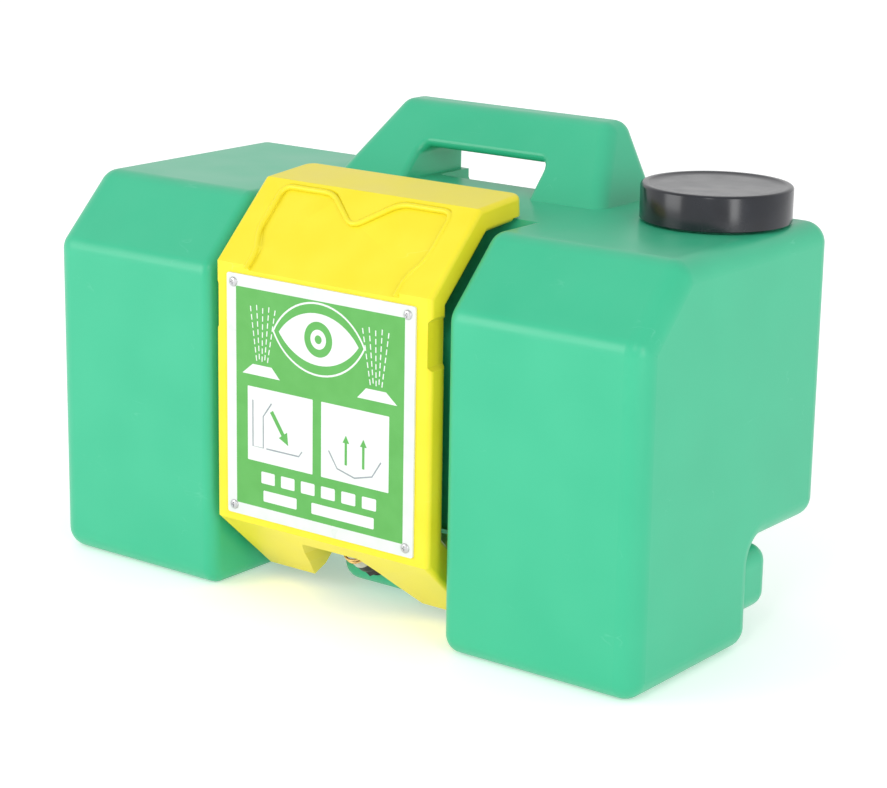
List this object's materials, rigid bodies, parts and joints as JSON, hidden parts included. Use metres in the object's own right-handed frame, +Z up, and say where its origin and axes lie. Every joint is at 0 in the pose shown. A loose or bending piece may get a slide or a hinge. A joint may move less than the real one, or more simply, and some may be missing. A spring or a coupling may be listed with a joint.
{
  "type": "portable eyewash station",
  "caption": "Portable gravity-fed eyewash: moulded water tank with carrying handle and screw cap, and a pull-down tray with a hose, two spray nozzles and a sign plate.",
  "frame": {"origin": "centre of the base of the whole object, on the plane the two lobes stand on", "axes": "+X across the tank towards the filler cap, +Y towards the back of the tank, +Z up"},
  "size_m": [0.54, 0.253, 0.353],
  "materials": {
    "tank": "satin gloss blow-moulded polyethylene, green",
    "tray": "satin gloss moulded plastic, yellow",
    "cap": "glossy black moulded plastic",
    "liner": "foamed polyethylene sealing disc",
    "brass": "turned brass",
    "seal_rubber": "black rubber",
    "fitting": "black moulded nylon",
    "clamp_wire": "yellow zinc plated spring wire",
    "pin_steel": "stainless steel",
    "washer": "natural acetal",
    "manifold": "moulded plastic, amber yellow",
    "nozzle_cap": "soft orange elastomer",
    "hose": "translucent flexible tube",
    "sign": "white plastic sheet with a green printed field",
    "screw_steel": "stainless steel"
  },
  "bodies": {
    "tank": {"tank_shell": "tank", "outlet_insert": "brass", "outlet_gasket": "seal_rubber", "outlet_elbow": "fitting", "hose_clamp_lower": "clamp_wire", "hinge_pin_left": "pin_steel", "hinge_pin_right": "pin_steel", "hinge_washer_left": "washer", "hinge_washer_right": "washer"},
    "liner": {"cap_liner": "liner"},
    "cap": {"fill_cap": "cap"},
    "tray": {"tray_arm": "tray", "manifold": "manifold", "nozzle_body_left": "manifold", "nozzle_body_right": "manifold", "nozzle_seal_left": "seal_rubber", "nozzle_seal_right": "seal_rubber", "nozzle_cap_left": "nozzle_cap", "nozzle_cap_right": "nozzle_cap", "hose_clamp_upper": "clamp_wire", "sign_plate": "sign", "sign_screws": "screw_steel", "hose": "hose"}
  },
  "joints": [
    {"name": "tray_hinge", "type": "hinge", "parent": "tank", "child": "tray", "pos_m": [0, -0.0775, 0.05], "axis": [1, 0, 0], "range_deg": [0, 96], "deforming": ["hose"]},
    {"name": "cap_lift", "type": "slide", "parent": "tank", "child": "liner", "axis": [0, 0, 1], "range_m": [0, 0.012]},
    {"name": "cap_turn", "type": "hinge", "parent": "liner", "child": "cap", "pos_m": [0.207, 0.0675, 0.31], "axis": [0, 0, 1], "range_deg": [0, 720]}
  ],
  "couplings": [
    {"joint": "cap_lift", "follows": "cap_turn", "m_per_rad": 0.00095493}
  ]
}
